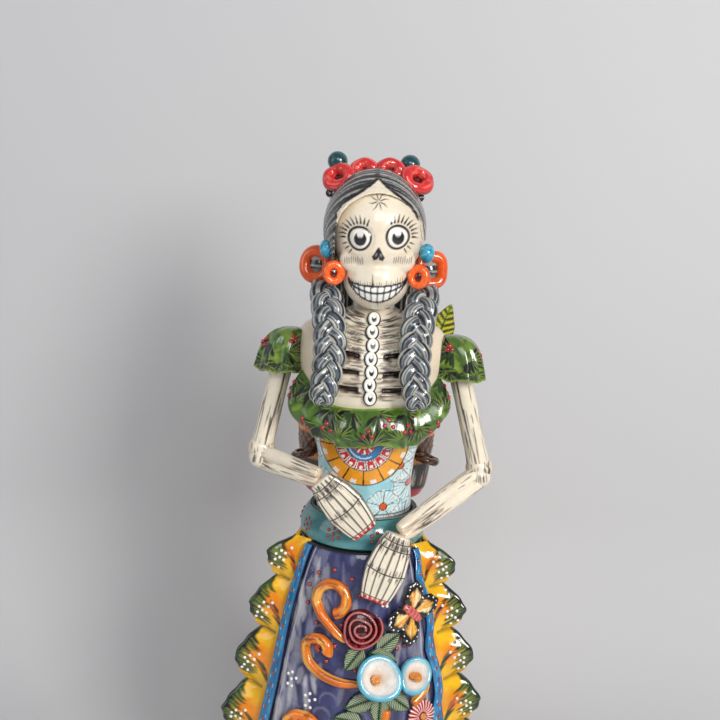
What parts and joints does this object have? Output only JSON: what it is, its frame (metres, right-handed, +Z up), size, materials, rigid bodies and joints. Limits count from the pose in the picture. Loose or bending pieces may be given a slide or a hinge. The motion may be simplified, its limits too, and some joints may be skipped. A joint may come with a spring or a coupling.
{
  "type": "skeleton lady figurine",
  "caption": "Glazed clay skeleton lady in a wide flounced skirt with flowers, plaits and a back basket; her upper body lifts out of an oval socket at the waist",
  "frame": {"origin": "middle of the hem's footprint, on the table", "axes": "+Z up; -Y is the front that the face looks towards; +X is to the right of someone facing the figure"},
  "size_m": [0.2743, 0.242, 0.6355],
  "materials": {
    "skirt_shell": "hand-painted gloss glaze",
    "hem_band": "hand-painted gloss glaze",
    "waistband": "hand-painted gloss glaze",
    "apron": "hand-painted gloss glaze",
    "ribbon_left": "hand-painted gloss glaze",
    "ribbon_right": "hand-painted gloss glaze",
    "flounce_left": "hand-painted gloss glaze",
    "flounce_right": "hand-painted gloss glaze",
    "scroll_loop": "hand-painted gloss glaze",
    "scroll_hook": "hand-painted gloss glaze",
    "scroll_low": "hand-painted gloss glaze",
    "stems": "hand-painted gloss glaze",
    "rose": "hand-painted gloss glaze",
    "rose_leaves": "hand-painted gloss glaze",
    "lily_leaves": "hand-painted gloss glaze",
    "daisy_right": "hand-painted gloss glaze",
    "daisy_low": "hand-painted gloss glaze",
    "butterfly_wings": "hand-painted gloss glaze",
    "butterfly_body": "hand-painted gloss glaze",
    "lily_left": "hand-painted gloss glaze",
    "lily_right": "hand-painted gloss glaze",
    "lily_spadices": "hand-painted gloss glaze",
    "bodice": "hand-painted gloss glaze",
    "chest": "hand-painted gloss glaze",
    "spine_beads": "hand-painted gloss glaze",
    "neck": "hand-painted gloss glaze",
    "skull": "hand-painted gloss glaze",
    "hair": "hand-painted gloss glaze",
    "hair_fall": "hand-painted gloss glaze",
    "braid_left": "hand-painted gloss glaze",
    "braid_right": "hand-painted gloss glaze",
    "ear_plug_left": "hand-painted gloss glaze",
    "ear_plug_right": "hand-painted gloss glaze",
    "ear_ring_left": "hand-painted gloss glaze",
    "ear_ring_right": "hand-painted gloss glaze",
    "hair_tie_left": "hand-painted gloss glaze",
    "hair_tie_right": "hand-painted gloss glaze",
    "headband": "hand-painted gloss glaze",
    "ribbon_loop_a": "hand-painted gloss glaze",
    "ribbon_loop_b": "hand-painted gloss glaze",
    "ribbon_loop_c": "hand-painted gloss glaze",
    "ribbon_loop_d": "hand-painted gloss glaze",
    "berry_left": "hand-painted gloss glaze",
    "berry_right": "hand-painted gloss glaze",
    "blouse_front": "hand-painted gloss glaze",
    "blouse_back": "hand-painted gloss glaze",
    "sleeve_left": "hand-painted gloss glaze",
    "sleeve_right": "hand-painted gloss glaze",
    "upper_arm_left": "hand-painted gloss glaze",
    "upper_arm_right": "hand-painted gloss glaze",
    "forearm_left": "hand-painted gloss glaze",
    "forearm_right": "hand-painted gloss glaze",
    "hand_left": "hand-painted gloss glaze",
    "hand_right": "hand-painted gloss glaze",
    "basket": "hand-painted gloss glaze",
    "basket_handle_left": "hand-painted gloss glaze",
    "basket_handle_right": "hand-painted gloss glaze",
    "basket_leaves": "hand-painted gloss glaze",
    "basket_lilies": "hand-painted gloss glaze"
  },
  "bodies": {
    "skirt": {"skirt_shell": "skirt_shell", "hem_band": "hem_band", "waistband": "waistband", "apron": "apron", "ribbon_left": "ribbon_left", "ribbon_right": "ribbon_right", "flounce_left": "flounce_left", "flounce_right": "flounce_right", "scroll_loop": "scroll_loop", "scroll_hook": "scroll_hook", "scroll_low": "scroll_low", "stems": "stems", "rose": "rose", "rose_leaves": "rose_leaves", "lily_leaves": "lily_leaves", "daisy_right": "daisy_right", "daisy_low": "daisy_low", "butterfly_wings": "butterfly_wings", "butterfly_body": "butterfly_body", "lily_left": "lily_left", "lily_right": "lily_right", "lily_spadices": "lily_spadices"},
    "torso": {"bodice": "bodice", "chest": "chest", "spine_beads": "spine_beads", "neck": "neck", "skull": "skull", "hair": "hair", "hair_fall": "hair_fall", "braid_left": "braid_left", "braid_right": "braid_right", "ear_plug_left": "ear_plug_left", "ear_plug_right": "ear_plug_right", "ear_ring_left": "ear_ring_left", "ear_ring_right": "ear_ring_right", "hair_tie_left": "hair_tie_left", "hair_tie_right": "hair_tie_right", "headband": "headband", "ribbon_loop_a": "ribbon_loop_a", "ribbon_loop_b": "ribbon_loop_b", "ribbon_loop_c": "ribbon_loop_c", "ribbon_loop_d": "ribbon_loop_d", "berry_left": "berry_left", "berry_right": "berry_right", "blouse_front": "blouse_front", "blouse_back": "blouse_back", "sleeve_left": "sleeve_left", "sleeve_right": "sleeve_right", "upper_arm_left": "upper_arm_left", "upper_arm_right": "upper_arm_right", "forearm_left": "forearm_left", "forearm_right": "forearm_right", "hand_left": "hand_left", "hand_right": "hand_right", "basket": "basket", "basket_handle_left": "basket_handle_left", "basket_handle_right": "basket_handle_right", "basket_leaves": "basket_leaves", "basket_lilies": "basket_lilies"}
  },
  "joints": [
    {"name": "torso_lift", "type": "slide", "parent": "skirt", "child": "torso", "axis": [0, 0, 1], "range_m": [0, 0.08]}
  ]
}
